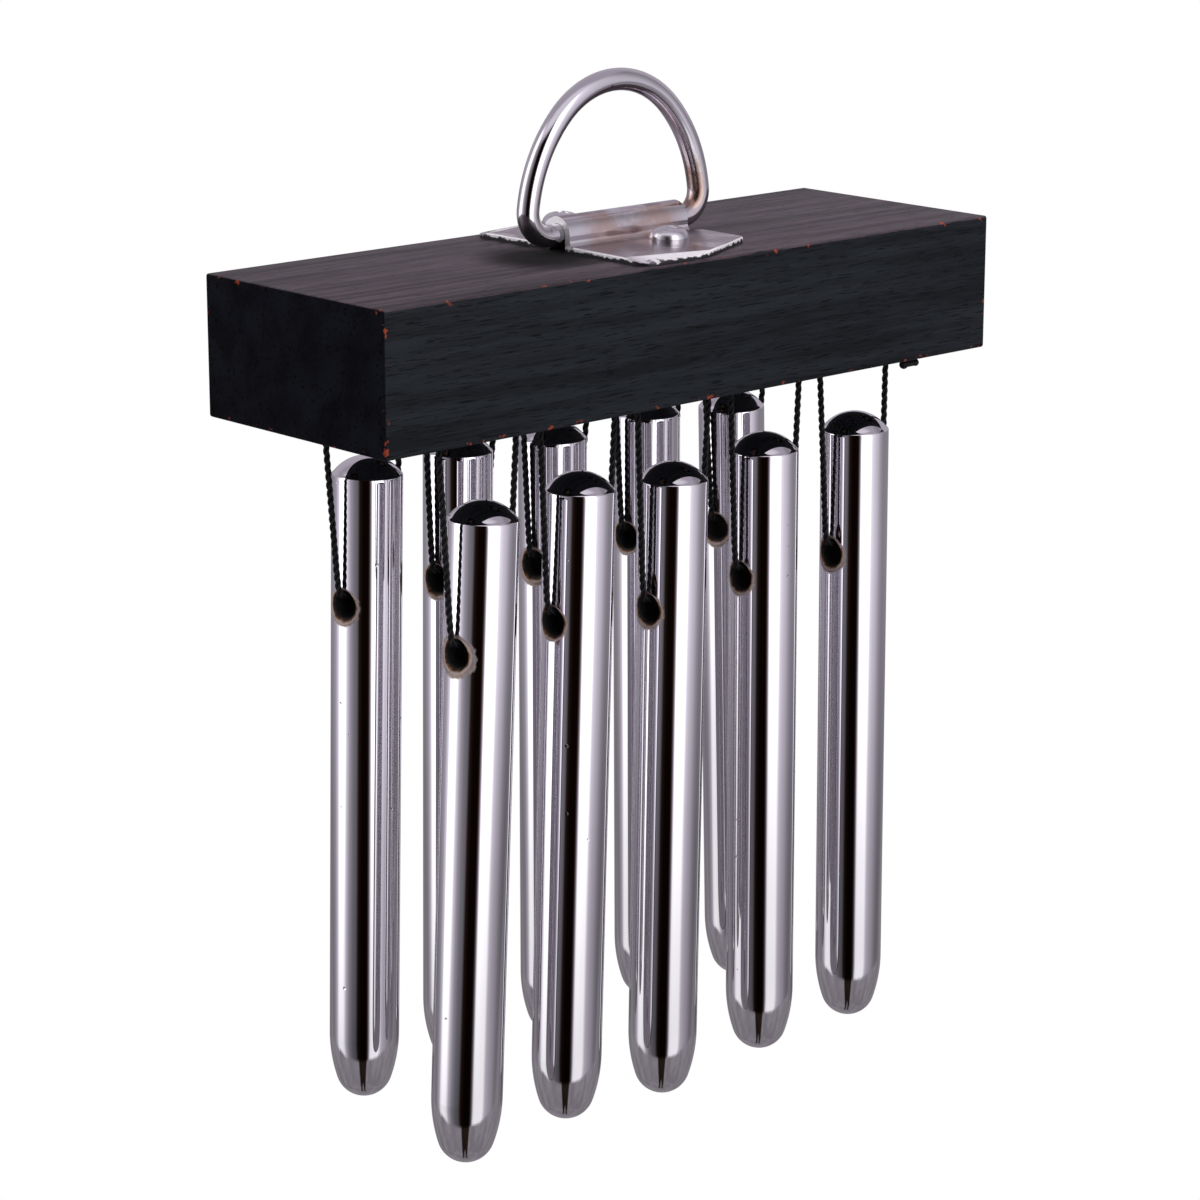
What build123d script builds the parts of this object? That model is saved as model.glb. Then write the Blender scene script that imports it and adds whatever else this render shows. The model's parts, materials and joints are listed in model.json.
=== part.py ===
# Bar chimes: ten chromed steel bars in two rows of five, hung on twisted cord from a stained
# wooden block, which hangs in turn from a D-ring held to its top by a pressed saddle plate.
# Millimetres. X runs along the block, -Y faces the player, +Z is up.
# The origin is the middle of the ring's crown, on its inside, where a hook carries the chimes.
from build123d import *
from math import asin, cos, degrees, hypot, pi, radians, sin
import os

os.makedirs("parts", exist_ok=True)

# ---------------------------------------------------------------- sizes
# Wooden block, planed from 25 mm board
block_length = 146.0
block_depth = 48.0
block_height = 25.0
block_edge_radius = 0.5

# D-ring, bent from 4 mm wire: a round crown, flatter shoulders that flare out to tight corners,
# and a straight foot
ring_wire = 4.0
ring_height = 26.2  # between the wire's axis at the crown and at the foot
ring_crown_radius = 18.3
ring_shoulder_radius = 27.0
ring_shoulder_angle = 45.0
ring_corner_radius = 4.5
foot_height = 3.0  # the foot's axis above the top of the block

# Saddle plate, pressed from sheet: a raised channel over the ring's foot, a flange each side.
# A flange is broad on its left, and its outer edge runs back at a slant to a corner on its right
plate_sheet = 1.2
channel_clearance = 0.06
channel_half_length = 14.4
plate_shift = 0.6
flange_waist = 3.0
flange_reach = 22.8
flange_left = 14.7
flange_front_end = 0.5
flange_right = 16.8
flange_right_corner = 15.2
flange_heel = 4.8
flange_left_radius = 3.5
flange_front_radius = 12.0
flange_right_radius = 1.2
flange_edge_radius = 0.3
channel_foot_radius = 1.0

# The flange's lip, pressed down at a slant: where it starts at the left, its line and its slope
lip_start = 17.5
lip_turn = 14.5
lip_slope = 9.5

# Pan-head screws through the flanges, one in front of the ring and one behind it
screw_shank = 4.0
screw_head = 7.1
screw_head_height = 2.6
screw_head_rim = 0.6
screw_crown = 4.4
screw_crown_fall = 0.35
screw_length = 15.0
screw_point = 3.5
front_screw_x = 3.7
front_screw_y = 9.5
rear_screw_x = 0.6
rear_screw_y = 15.5
screw_hole_clearance = 0.2
pilot_clearance = 0.05
recess_width = 0.95
recess_span = 4.0
recess_depth = 1.6
recess_taper = 12.0

# Bars, turned from half-inch steel rod: a low dome on top, a bullet nose below
bar_diameter = 12.7
bar_length = 120.0
dome_height = 3.5
dome_rim_radius = 0.3
nose_length = 12.4
nose_tip_radius = 5.2
bar_hole = 4.8
bar_hole_below_top = 26.3
hole_countersink = 0.9

# Rows
bars_per_row = 5
bar_pitch = 23.0
row_inset = 8.5  # each row's distance from the block's long face

# Twisted cord, one loop to a bar, and the glued pegs that wedge its ends in the block
cord_diameter = 1.2
cord_clearance = 0.05
strand_offset = 2.5  # a strand's distance from the middle of its peg
strand_pivot_drop = 0.7
strand_stand_off = 0.85
strand_bend_radius = 1.5
peg_diameter = 3.7
peg_length = 12.0
peg_edge = 0.3
peg_hole_depth = 13.0
cord_end_length = 11.0

# The front row's cord ends in a knot under the block's right end, with a short melted tail
knot_drop = 2.9
tail_rise = 6.5
tail_run = 3.2
knot_radius = 0.85
tail_end_radius = 0.7

# How each bar hangs, left to right: the hole's sideways shift, the dome's drop below the
# block, the lean (top towards +X) and the turn about its own axis. Tied by hand, none hangs
# quite like the next.
front_hang = [
    (1.2, 12.3, 2.6, 7.0),
    (0.5, 10.7, 1.8, 2.0),
    (0.0, 12.4, 1.0, 3.0),
    (-0.1, 10.4, -0.3, 0.0),
    (0.9, 10.0, -0.5, -2.0),
]
rear_hang = [
    (1.0, 9.6, 1.5, 8.0),
    (-1.0, 8.6, 0.8, 10.0),
    (-1.2, 9.6, 0.0, 12.0),
    (-0.4, 8.4, -0.4, 6.0),
    (-1.0, 10.2, -1.6, 12.0),
]

# ---------------------------------------------------------------- places
wire_radius = ring_wire / 2
bar_radius = bar_diameter / 2
hole_radius = bar_hole / 2
cord_radius = cord_diameter / 2

foot_z = wire_radius - ring_height
block_top = foot_z - foot_height
block_bottom = block_top - block_height
channel_radius = wire_radius + channel_clearance
barrel_radius = channel_radius + plate_sheet
plate_top = block_top + plate_sheet

screw_places = [
    (plate_shift + front_screw_x, -front_screw_y),
    (plate_shift + rear_screw_x, rear_screw_y),
]

first_bar_x = -bar_pitch * (bars_per_row - 1) / 2
bar_xs = [first_bar_x + n * bar_pitch for n in range(bars_per_row)]
peg_xs = [first_bar_x + (n - 0.5) * bar_pitch for n in range(bars_per_row + 1)]
row_y = block_depth / 2 - row_inset
rows = {"front": (-row_y, front_hang), "rear": (row_y, rear_hang)}

# Each peg has a strand on either side of it, inside the same hole
strand_half_spread = bar_pitch / 2 - strand_offset
peg_hole_radius = strand_offset + cord_radius + cord_clearance * 2
tail_x = peg_xs[-1] + strand_offset
pivot_z = block_bottom - strand_pivot_drop

# The cord's height over the hole's middle, where it bears on the top of the hole
cord_rise = hole_radius - cord_radius - cord_clearance
seat_below_top = bar_hole_below_top - cord_rise


def seat_frame(x, y, hang):
    """The bar's own frame: origin where the cord carries it, x along its hole, z up its axis."""
    shift, drop, lean, turn = hang
    tilt = Plane(Location((0, 0, 0), (0, lean, turn)))
    top = Vector(x + shift, y, block_bottom - drop)
    return Plane(top - tilt.z_dir * seat_below_top, x_dir=tilt.x_dir, z_dir=tilt.z_dir)


seats = {
    f"{row}_{n + 1}": seat_frame(bar_xs[n], y, hangs[n])
    for row, (y, hangs) in rows.items()
    for n in range(bars_per_row)
}


# ---------------------------------------------------------------- D-ring
# The wire is bent round in one plane and butt-welded under the saddle plate
crown_z = wire_radius - ring_crown_radius
corner_z = foot_z + ring_corner_radius
flattening = ring_shoulder_radius - ring_crown_radius
shoulder_x = -flattening * cos(radians(ring_shoulder_angle))
shoulder_z = crown_z - flattening * sin(radians(ring_shoulder_angle))

# The corner's arc and the shoulder's arc meet in one tangent, a little above the corner's middle
tightening = ring_shoulder_radius - ring_corner_radius
flare = degrees(asin((corner_z - shoulder_z) / tightening))
foot_half = shoulder_x + tightening * cos(radians(flare))
shoulder_sweep = ring_shoulder_angle - flare

with BuildPart() as ring:
    with BuildLine(Plane.XZ) as ring_path:
        Line((-foot_half, foot_z), (foot_half, foot_z))
        CenterArc((foot_half, corner_z), ring_corner_radius, -90, 90 + flare)
        CenterArc((shoulder_x, shoulder_z), ring_shoulder_radius, flare, shoulder_sweep)
        CenterArc(
            (0, crown_z), ring_crown_radius, ring_shoulder_angle, 180 - 2 * ring_shoulder_angle
        )
        CenterArc(
            (-shoulder_x, shoulder_z), ring_shoulder_radius, 180 - ring_shoulder_angle, shoulder_sweep
        )
        CenterArc((-foot_half, corner_z), ring_corner_radius, 180 - flare, 90 + flare)
    with BuildSketch(Plane((-foot_half, 0, foot_z), z_dir=(1, 0, 0))):
        Circle(wire_radius)
    sweep(path=ring_path.wires()[0])

ring.part.label = "ring"
export_step(ring.part, "parts/ring.step")


# ---------------------------------------------------------------- saddle plate
def flange_outline(side):
    """One flange's outline, from the channel out to its lip; side is -1 or 1 along Y."""
    return [
        (channel_half_length, 0),
        (channel_half_length, side * flange_waist),
        (flange_right, side * flange_heel),
        (flange_right, side * flange_right_corner),
        (flange_front_end, side * flange_reach),
        (-flange_left, side * flange_reach),
        (-channel_half_length, side * flange_waist),
        (-channel_half_length, 0),
    ]


def lip_plane(side):
    """The lip's sloping face: along the lip by x, rising above the flange by z."""
    along = Vector(1, 0, 0).rotate(Axis.Z, side * lip_turn)
    start = (plate_shift - flange_left, side * lip_start, plate_top)
    up = Vector(0, 0, 1).rotate(Axis((0, 0, 0), along), -side * lip_slope)
    return Plane(start, x_dir=along, z_dir=up)


def archway(radius):
    """An upright arch on the block's top, round the axis of the ring's foot."""
    Line((-radius, block_top), (-radius, foot_z))
    ThreePointArc((-radius, foot_z), (0, foot_z + radius), (radius, foot_z))
    Line((radius, foot_z), (radius, block_top))
    Line((radius, block_top), (-radius, block_top))


with BuildPart() as saddle_plate:
    with BuildSketch(Plane.XY.offset(block_top)):
        with Locations((plate_shift, 0)):
            Polygon(*flange_outline(-1), align=None)
            Polygon(*flange_outline(1), align=None)
    extrude(amount=plate_sheet)
    corners = saddle_plate.edges().filter_by(Axis.Z)
    corner_xs = {
        plate_shift - flange_left: flange_left_radius,
        plate_shift + flange_front_end: flange_front_radius,
        plate_shift + flange_right: flange_right_radius,
    }
    for corner_x, radius in corner_xs.items():
        outer = corners.filter_by(lambda edge: abs(edge.center().X - corner_x) < 0.01)
        fillet(outer.filter_by(lambda edge: abs(edge.center().Y) > flange_heel + 0.01), radius)
    flange_rim = saddle_plate.faces().sort_by(Axis.Z)[-1].outer_wire().edges()
    fillet(flange_rim, flange_edge_radius)
    for side in (-1, 1):
        with Locations(lip_plane(side)):
            outward = Align.MAX if side < 0 else Align.MIN
            lip_cut = (3 * flange_right, flange_reach, flange_reach)
            Box(*lip_cut, align=(Align.CENTER, outward, Align.MIN), mode=Mode.SUBTRACT)
    with BuildSketch(Plane.YZ.offset(plate_shift)) as channel_section:
        with BuildLine():
            archway(barrel_radius)
        make_face()
        with Locations((0, block_top + plate_sheet / 2)):
            Rectangle(2 * (barrel_radius + channel_foot_radius), plate_sheet)
        feet = [(side * barrel_radius, plate_top) for side in (-1, 1)]
        fillet(
            [channel_section.vertices().sort_by_distance(foot)[0] for foot in feet],
            channel_foot_radius * 0.99,
        )
    extrude(amount=channel_half_length, both=True)
    with BuildSketch(Plane.YZ.offset(plate_shift)):
        with BuildLine():
            archway(channel_radius)
        make_face()
    extrude(amount=flange_right, both=True, mode=Mode.SUBTRACT)
    with BuildSketch(Plane.XY.offset(block_top)):
        with Locations(*screw_places):
            Circle(screw_shank / 2 + screw_hole_clearance)
    extrude(amount=plate_sheet, mode=Mode.SUBTRACT)

saddle_plate.part.label = "saddle_plate"
export_step(saddle_plate.part, "parts/saddle_plate.step")


# ---------------------------------------------------------------- plate screws
head_top = plate_top + screw_head_height
shank_radius = screw_shank / 2
screw_tip = plate_top - screw_length

with BuildPart() as screw:
    with BuildSketch(Plane.XZ):
        with BuildLine():
            Polyline(
                (0, head_top),
                (0, screw_tip),
                (shank_radius, screw_tip + screw_point),
                (shank_radius, plate_top),
                (screw_head / 2, plate_top),
                (screw_head / 2, plate_top + screw_head_rim),
            )
            crown_edge = (screw_crown / 2, head_top - screw_crown_fall)
            crown = TangentArc((0, head_top), crown_edge, tangent=(1, 0))
            TangentArc(crown_edge, (screw_head / 2, plate_top + screw_head_rim), tangent=crown % 1)
        make_face()
    revolve(axis=Axis.Z)
    with BuildSketch(Plane.XY.offset(head_top)):
        Rectangle(recess_span, recess_width)
        Rectangle(recess_width, recess_span)
    extrude(amount=-recess_depth, taper=recess_taper, mode=Mode.SUBTRACT)

with BuildPart() as plate_screws:
    with Locations(*screw_places):
        add(screw.part)

plate_screws.part.label = "plate_screws"
export_step(plate_screws.part, "parts/plate_screws.step")


# ---------------------------------------------------------------- block
peg_places = [(x, y) for y, hangs in rows.values() for x in peg_xs]

with BuildPart() as wood_block:
    with Locations((0, 0, (block_top + block_bottom) / 2)):
        Box(block_length, block_depth, block_height)
    fillet(wood_block.edges(), block_edge_radius)
    with BuildSketch(Plane.XY.offset(block_bottom)):
        with Locations(*peg_places):
            Circle(peg_hole_radius)
    extrude(amount=peg_hole_depth, mode=Mode.SUBTRACT)
    with BuildSketch(Plane.XZ):
        with BuildLine():
            Polyline(
                (0, block_top),
                (0, screw_tip - pilot_clearance),
                (shank_radius + pilot_clearance, screw_tip + screw_point - pilot_clearance),
                (shank_radius + pilot_clearance, block_top),
                close=True,
            )
        make_face()
    pilot = revolve(axis=Axis.Z, mode=Mode.PRIVATE)
    with Locations(*screw_places):
        add(pilot, mode=Mode.SUBTRACT)

wood_block.part.label = "wood_block"
export_step(wood_block.part, "parts/wood_block.step")


# ---------------------------------------------------------------- pegs and cord ends
# The two strands that share a hole lie against its wall, either side of the peg
def make_pegs(name, y):
    with BuildPart() as pegs:
        with BuildSketch(Plane.XY.offset(block_bottom)):
            with Locations(*[(x, y) for x in peg_xs]):
                Circle(peg_diameter / 2)
        extrude(amount=peg_length)
        chamfer(pegs.faces().filter_by(Axis.Z).group_by(Axis.Z)[0].edges(), peg_edge)
    pegs.part.label = name
    export_step(pegs.part, f"parts/{name}.step")


def make_cord_ends(name, y):
    strand_xs = [x + side * strand_half_spread for x in bar_xs for side in (-1, 1)]
    with BuildPart() as cord_ends:
        with BuildSketch(Plane.XY.offset(block_bottom)):
            with Locations(*[(x, y) for x in strand_xs]):
                Circle(cord_radius)
        extrude(amount=cord_end_length)
    cord_ends.part.label = name
    export_step(cord_ends.part, f"parts/{name}.step")


for row, (y, hangs) in rows.items():
    make_pegs(f"pegs_{row}", y)
    make_cord_ends(f"cord_ends_{row}", y)


# ---------------------------------------------------------------- knotted tail
tail_y = rows["front"][0]
tail_z = block_bottom - knot_drop

with BuildPart() as cord_tail:
    with BuildSketch(Plane.XY.offset(tail_z)):
        with Locations((tail_x, tail_y)):
            Circle(cord_radius)
    extrude(amount=tail_rise)
    with BuildSketch(Plane.YZ.offset(tail_x)):
        with Locations((tail_y, tail_z)):
            Circle(cord_radius)
    extrude(amount=tail_run)
    with Locations((tail_x, tail_y, tail_z)):
        Sphere(knot_radius)
    with Locations((tail_x + tail_run, tail_y, tail_z)):
        Sphere(tail_end_radius)

cord_tail.part.label = "cord_tail"
export_step(cord_tail.part, "parts/cord_tail.step")


# ---------------------------------------------------------------- bars
def make_bar(name, seat):
    """One bar, turned about its axis, then drilled and countersunk right through."""
    side_view = Plane(seat.origin, x_dir=seat.x_dir, z_dir=-seat.y_dir)
    top = seat_below_top
    rim = top - dome_height
    tip = top - bar_length
    nose = tip + nose_length
    # The nose is two tangent arcs: a long shoulder, then the round tip
    spare = nose_length - nose_tip_radius
    shoulder_radius = (bar_radius**2 - nose_tip_radius**2 + spare**2) / 2 / (bar_radius - nose_tip_radius)
    reach = nose_tip_radius / hypot(shoulder_radius - bar_radius, spare)
    tip_start = (
        reach * (shoulder_radius - bar_radius),
        tip + nose_tip_radius - reach * spare,
    )
    hole_z = -cord_rise
    over = bar_radius + 1.0
    with BuildPart() as bar:
        with BuildSketch(side_view) as half_section:
            with BuildLine():
                TangentArc((0, top), (bar_radius, rim), tangent=(1, 0))
                Line((bar_radius, rim), (bar_radius, nose))
                shoulder = TangentArc((bar_radius, nose), tip_start, tangent=(0, -1))
                TangentArc(tip_start, (0, tip), tangent=shoulder % 1)
                Line((0, tip), (0, top))
            make_face()
            fillet(half_section.vertices().sort_by_distance((bar_radius, rim))[0], dome_rim_radius)
        revolve(axis=Axis(seat.origin, seat.z_dir))
        with BuildSketch(side_view):
            Polygon(
                (-over, hole_z),
                (-over, hole_z + hole_radius + hole_countersink + over - bar_radius),
                (hole_countersink - bar_radius, hole_z + hole_radius),
                (bar_radius - hole_countersink, hole_z + hole_radius),
                (over, hole_z + hole_radius + hole_countersink + over - bar_radius),
                (over, hole_z),
                align=None,
            )
        hole_axis = Axis(seat.origin + seat.z_dir * hole_z, seat.x_dir)
        revolve(axis=hole_axis, mode=Mode.SUBTRACT)
    bar.part.label = name
    export_step(bar.part, f"parts/{name}.step")


for place, seat in seats.items():
    make_bar(f"bar_{place}", seat)


# ---------------------------------------------------------------- cord loops
def turn_at(before, corner, after):
    return (corner - before).get_angle(after - corner)


def make_cord(name, x, y, seat):
    """One loop: a strand down from each pivot under the block to a mouth of the bar's hole,
    and the run between the mouths that carries the bar."""
    reach = seat.x_dir * (bar_radius + strand_stand_off)
    route = [
        Vector(x - strand_half_spread, y, pivot_z),
        seat.origin - reach,
        seat.origin + reach,
        Vector(x + strand_half_spread, y, pivot_z),
    ]
    with BuildPart() as cord:
        with BuildLine() as cord_path:
            FilletPolyline(*route, radius=strand_bend_radius)
        line = cord_path.wires()[0]
        with BuildSketch(Plane(line @ 0, z_dir=line % 0)):
            Circle(cord_radius)
        sweep(path=line)
        swept = cord.part.volume
        with Locations(route[0], route[-1]):
            Sphere(cord_radius)
    cord.part.label = name
    export_step(cord.part, f"parts/{name}.step")
    turns = [round(turn_at(*route[n : n + 3])) for n in range(len(route) - 2)]
    fullness = swept / (pi * cord_radius**2 * line.length)
    print(
        f"{name}: {line.length:.1f} mm hanging, turns {turns} deg,",
        f"radius {strand_bend_radius} mm, volume over section times length {fullness:.4f}",
    )


for row, (y, hangs) in rows.items():
    for n, x in enumerate(bar_xs):
        make_cord(f"cord_{row}_{n + 1}", x, y, seats[f"{row}_{n + 1}"])
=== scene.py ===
import json
import math

import bpy
from mathutils import Matrix, Vector


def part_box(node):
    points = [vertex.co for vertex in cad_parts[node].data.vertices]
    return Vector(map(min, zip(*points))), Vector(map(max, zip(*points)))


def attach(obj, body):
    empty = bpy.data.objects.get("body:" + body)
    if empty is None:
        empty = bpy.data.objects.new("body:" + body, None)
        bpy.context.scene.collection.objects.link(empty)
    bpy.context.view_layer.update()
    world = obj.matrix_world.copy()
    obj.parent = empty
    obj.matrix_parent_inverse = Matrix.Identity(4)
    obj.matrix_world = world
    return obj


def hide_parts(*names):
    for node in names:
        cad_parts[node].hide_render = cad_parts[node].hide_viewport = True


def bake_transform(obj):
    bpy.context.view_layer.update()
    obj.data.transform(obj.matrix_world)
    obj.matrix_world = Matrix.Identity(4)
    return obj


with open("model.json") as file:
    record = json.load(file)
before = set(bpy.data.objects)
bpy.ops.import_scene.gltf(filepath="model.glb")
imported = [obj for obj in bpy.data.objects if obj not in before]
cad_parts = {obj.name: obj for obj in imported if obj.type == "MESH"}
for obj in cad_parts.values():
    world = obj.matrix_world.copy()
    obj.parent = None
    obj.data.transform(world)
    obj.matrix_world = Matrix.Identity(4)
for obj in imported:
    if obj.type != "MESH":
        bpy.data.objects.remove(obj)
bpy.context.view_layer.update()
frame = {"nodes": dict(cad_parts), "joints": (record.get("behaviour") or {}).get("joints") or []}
node_of = frame["nodes"]
joint_of = {joint["name"]: joint for joint in frame["joints"]}
mm = 0.001


# ------------------------------------------------------------------ the photograph's view
# Ten bars seen from the front left and a little above, from about two thirds of a metre. The
# lens and the place come from the block's corners, which a straight-edged board gives well.
view_azimuth = math.radians(-42.632)
view_elevation = math.radians(14.944)
view_roll = math.radians(0.051)
photo_size = 1200
focal_pixels = 3666.3
block_top_middle = Vector((0, 0, -27.2 * mm))
middle_in_view = Vector((2.623, 63.859, -655.76)) * mm

toward_camera = Vector((
    math.sin(view_azimuth) * math.cos(view_elevation),
    -math.cos(view_azimuth) * math.cos(view_elevation),
    math.sin(view_elevation),
))
level_right = Vector((math.cos(view_azimuth), math.sin(view_azimuth), 0))
upright = toward_camera.cross(level_right)
roll = Matrix.Rotation(view_roll, 3, toward_camera)
turn = Matrix((roll @ level_right, roll @ upright, toward_camera)).transposed()

camera = bpy.data.objects.new("camera", bpy.data.cameras.new("camera"))
bpy.context.scene.collection.objects.link(camera)
camera.data.sensor_width = 36
camera.data.lens = camera.data.sensor_width * focal_pixels / photo_size
camera.data.clip_start = 0.02
camera.matrix_world = Matrix.Translation(block_top_middle - turn @ middle_in_view) @ turn.to_4x4()
bpy.context.scene.camera = camera
bpy.context.scene.view_settings.view_transform = "Standard"


# ------------------------------------------------------------------ cord loops
# Three-ply twisted synthetic cord, dyed black. One loop carries each bar: down from a hole in
# the block, through the bar's cross hole and back up into the next hole. The bar's weight
# keeps both strands tight, so only the bends at the hole's two mouths are soft.
cord_diameter = 1.2 * mm
ply_radius = cord_diameter / 2 / (1 + 2 / math.sqrt(3))
ply_offset = cord_diameter / 2 - ply_radius
ply_count = 3
lay_length = 4.6 * mm
cord_step = 0.2 * mm
ply_sides = 8
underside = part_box("wood_block")[0].z
strand_half_spread = 9.0 * mm
strand_start = underside + 3.0 * mm
mouth_reach = 7.2 * mm  # from the middle of a bar to where a strand meets the hole's lip
lip_rise = 1.3 * mm  # how far up its strand the bend at a mouth begins
inner_reach = 6.6 * mm  # where the cord is back on the hole's axis, a little below it
inner_drop = 0.22 * mm
ply_turn = 1.7  # how much further the plies are turned from one loop to the next


def new_material(name, **values):
    """A material with its shader's plain values set; gives its node tree and its shader."""
    material = bpy.data.materials.new(name)
    material.use_nodes = True
    shader = material.node_tree.nodes["Principled BSDF"]
    sockets = {socket.name.lower().replace(" ", "_"): socket for socket in shader.inputs}
    for name, value in values.items():
        sockets[name].default_value = value
    return material, material.node_tree, shader


def add_node(tree, kind, **values):
    """One node, with its settings, and its inputs by name, given as values or as links."""
    node = tree.nodes.new(kind)
    for name, value in values.items():
        if name == "inputs":
            for socket, what in value.items():
                if isinstance(what, bpy.types.NodeSocket):
                    tree.links.new(what, node.inputs[socket])
                else:
                    node.inputs[socket].default_value = what
        else:
            setattr(node, name, value)
    return node


def ramp(tree, factor, stops):
    """A colour ramp through (place, brightness or colour) stops; gives its colour."""
    node = add_node(tree, "ShaderNodeValToRGB", inputs={"Fac": factor})
    elements = node.color_ramp.elements
    while len(elements) < len(stops):
        elements.new(0.5)
    for element, (place, colour) in zip(elements, stops):
        element.position = place
        element.color = (*colour, 1) if hasattr(colour, "__len__") else (colour,) * 3 + (1,)
    return node.outputs["Color"]


def dress(piece, material):
    """Gives a piece its one material."""
    piece.data.materials.clear()
    piece.data.materials.append(material)


def dyed_cord():
    """Dull black fibres, a little uneven."""
    material, tree, shader = new_material("dyed_cord", roughness=0.6, specular_ior_level=0.25)
    place = add_node(tree, "ShaderNodeTexCoord").outputs["Object"]
    fibres = add_node(
        tree, "ShaderNodeTexNoise", inputs={"Vector": place, "Scale": 2600.0, "Detail": 3.0}
    ).outputs["Fac"]
    colour = ramp(tree, fibres, [(0.35, (0.002, 0.002, 0.0025)), (0.75, (0.012, 0.011, 0.014))])
    tree.links.new(colour, shader.inputs["Base Color"])
    bump = add_node(
        tree, "ShaderNodeBump", inputs={"Height": fibres, "Strength": 0.5, "Distance": 0.15 * mm}
    )
    tree.links.new(bump.outputs["Normal"], shader.inputs["Normal"])
    return material


def hang_frame(name):
    """A bar's own axes where its cord carries it: x along its cross hole, z up the bar."""
    joint = joint_of[f"rock_{name}"]
    along_hole = Vector(joint["axis"]).normalized()
    up_bar = Vector((-along_hole.z, 0, along_hole.x)).normalized()
    across = up_bar.cross(along_hole)
    axes = Matrix((along_hole, across, up_bar)).transposed()
    return Matrix.Translation(joint["pos_m"]) @ axes.to_4x4()


def smooth_line(points):
    """The points of the smooth curve that a list of control points steers."""
    curve = bpy.data.curves.new("route", "CURVE")
    curve.dimensions = "3D"
    curve.resolution_u = 24
    spline = curve.splines.new("NURBS")
    spline.points.add(len(points) - 1)
    for point, place in zip(spline.points, points):
        point.co = (*place, 1)
    spline.order_u = 3
    spline.use_endpoint_u = True
    holder = bpy.data.objects.new("route", curve)
    bpy.context.scene.collection.objects.link(holder)
    bpy.context.view_layer.update()
    mesh = bpy.data.meshes.new_from_object(holder)
    line = [vertex.co.copy() for vertex in mesh.vertices]
    bpy.data.objects.remove(holder)
    bpy.data.meshes.remove(mesh)
    return line


def even_line(line, step):
    """The same line with its points one step apart."""
    runs = [(b - a).length for a, b in zip(line, line[1:])]
    count = max(2, round(sum(runs) / step))
    points, n, passed = [], 0, 0.0
    for k in range(count + 1):
        wanted = sum(runs) * k / count
        while n < len(runs) - 1 and passed + runs[n] < wanted:
            passed += runs[n]
            n += 1
        points.append(line[n].lerp(line[n + 1], min(1, (wanted - passed) / max(runs[n], 1e-9))))
    return points


def twisted_mesh(name, line, step, phase):
    """Three plies wound round a line, each a closed tube."""
    vertices, faces = [], []
    heading = (line[1] - line[0]).normalized()
    side = heading.orthogonal().normalized()
    frames = []
    for n, point in enumerate(line):
        ahead = (line[min(n + 1, len(line) - 1)] - line[max(n - 1, 0)]).normalized()
        side = (side - ahead * side.dot(ahead)).normalized()
        frames.append((point, ahead, side, ahead.cross(side)))
    for ply in range(ply_count):
        first = len(vertices)
        for n, (point, ahead, side, other) in enumerate(frames):
            angle = phase + ply * math.tau / ply_count + n * step / lay_length * math.tau
            out = side * math.cos(angle) + other * math.sin(angle)
            around = ahead.cross(out)
            middle = point + out * ply_offset
            for k in range(ply_sides):
                turned = k * math.tau / ply_sides
                spoke = out * math.cos(turned) + around * math.sin(turned)
                vertices.append(middle + spoke * ply_radius)
        rings = len(frames)
        for n in range(rings - 1):
            for k in range(ply_sides):
                a = first + n * ply_sides + k
                b = first + n * ply_sides + (k + 1) % ply_sides
                faces.append((a, b, b + ply_sides, a + ply_sides))
        faces.append(tuple(first + k for k in reversed(range(ply_sides))))
        faces.append(tuple(first + (rings - 1) * ply_sides + k for k in range(ply_sides)))
    mesh = bpy.data.meshes.new(name)
    mesh.from_pydata(vertices, [], faces)
    mesh.update()
    mesh.shade_smooth()
    return mesh


cord_material = dyed_cord()
for row in ("front", "rear"):
    for n in range(1, 6):
        name = f"{row}_{n}"
        seat = hang_frame(name)
        pivot = Vector(joint_of[f"swing_{name}"]["pos_m"])
        ends = [
            Vector((pivot.x + side * strand_half_spread, pivot.y, strand_start))
            for side in (-1, 1)
        ]
        mouths = [seat @ Vector((side * mouth_reach, 0, 0)) for side in (-1, 1)]
        # Down a tight strand, round the mouth's lip and along the hole, then the same back up
        left, right = (
            [
                end,
                end.lerp(mouth, 0.35),
                end.lerp(mouth, 0.7),
                mouth + (end - mouth).normalized() * lip_rise,
                seat @ Vector((side * inner_reach, 0, -inner_drop)),
            ]
            for side, end, mouth in zip((-1, 1), ends, mouths)
        )
        route = [*left, *reversed(right)]
        line = smooth_line(route)
        points = even_line(line, cord_step)
        mesh = twisted_mesh(name, points, cord_step, n * ply_turn)
        cord = bpy.data.objects.new(f"twisted_cord_{name}", mesh)
        bpy.context.scene.collection.objects.link(cord)
        dress(cord, cord_material)
        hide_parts(f"cord_{name}")
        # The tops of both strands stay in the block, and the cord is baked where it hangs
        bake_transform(cord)


# ------------------------------------------------------------------ bars
# Half-inch steel rod, turned with a low domed top and a bullet nose, drilled across and
# countersunk, then polished and chromed. The plating is thin at the drilled holes, where it
# has started to rust, and carries a few pits elsewhere.
bar_radius = 6.35 * mm
bar_top = 24.55 * mm  # above the cord's seat in the bar's hole, as all heights on the bar
bar_tip = bar_top - 120 * mm
dome_height = 3.5 * mm
rim_round = 0.35 * mm
nose_length = 12.4 * mm
tip_radius = 5.2 * mm
hole_radius = 2.4 * mm
hole_height = -1.75 * mm
countersink = 0.9 * mm
bar_segments = 144


def deselect():
    """Nothing selected and nothing active, so that the next operator acts on its own piece."""
    if bpy.context.object and bpy.context.object.mode != "OBJECT":
        bpy.ops.object.mode_set(mode="OBJECT")
    bpy.ops.object.select_all(action="DESELECT")


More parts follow.
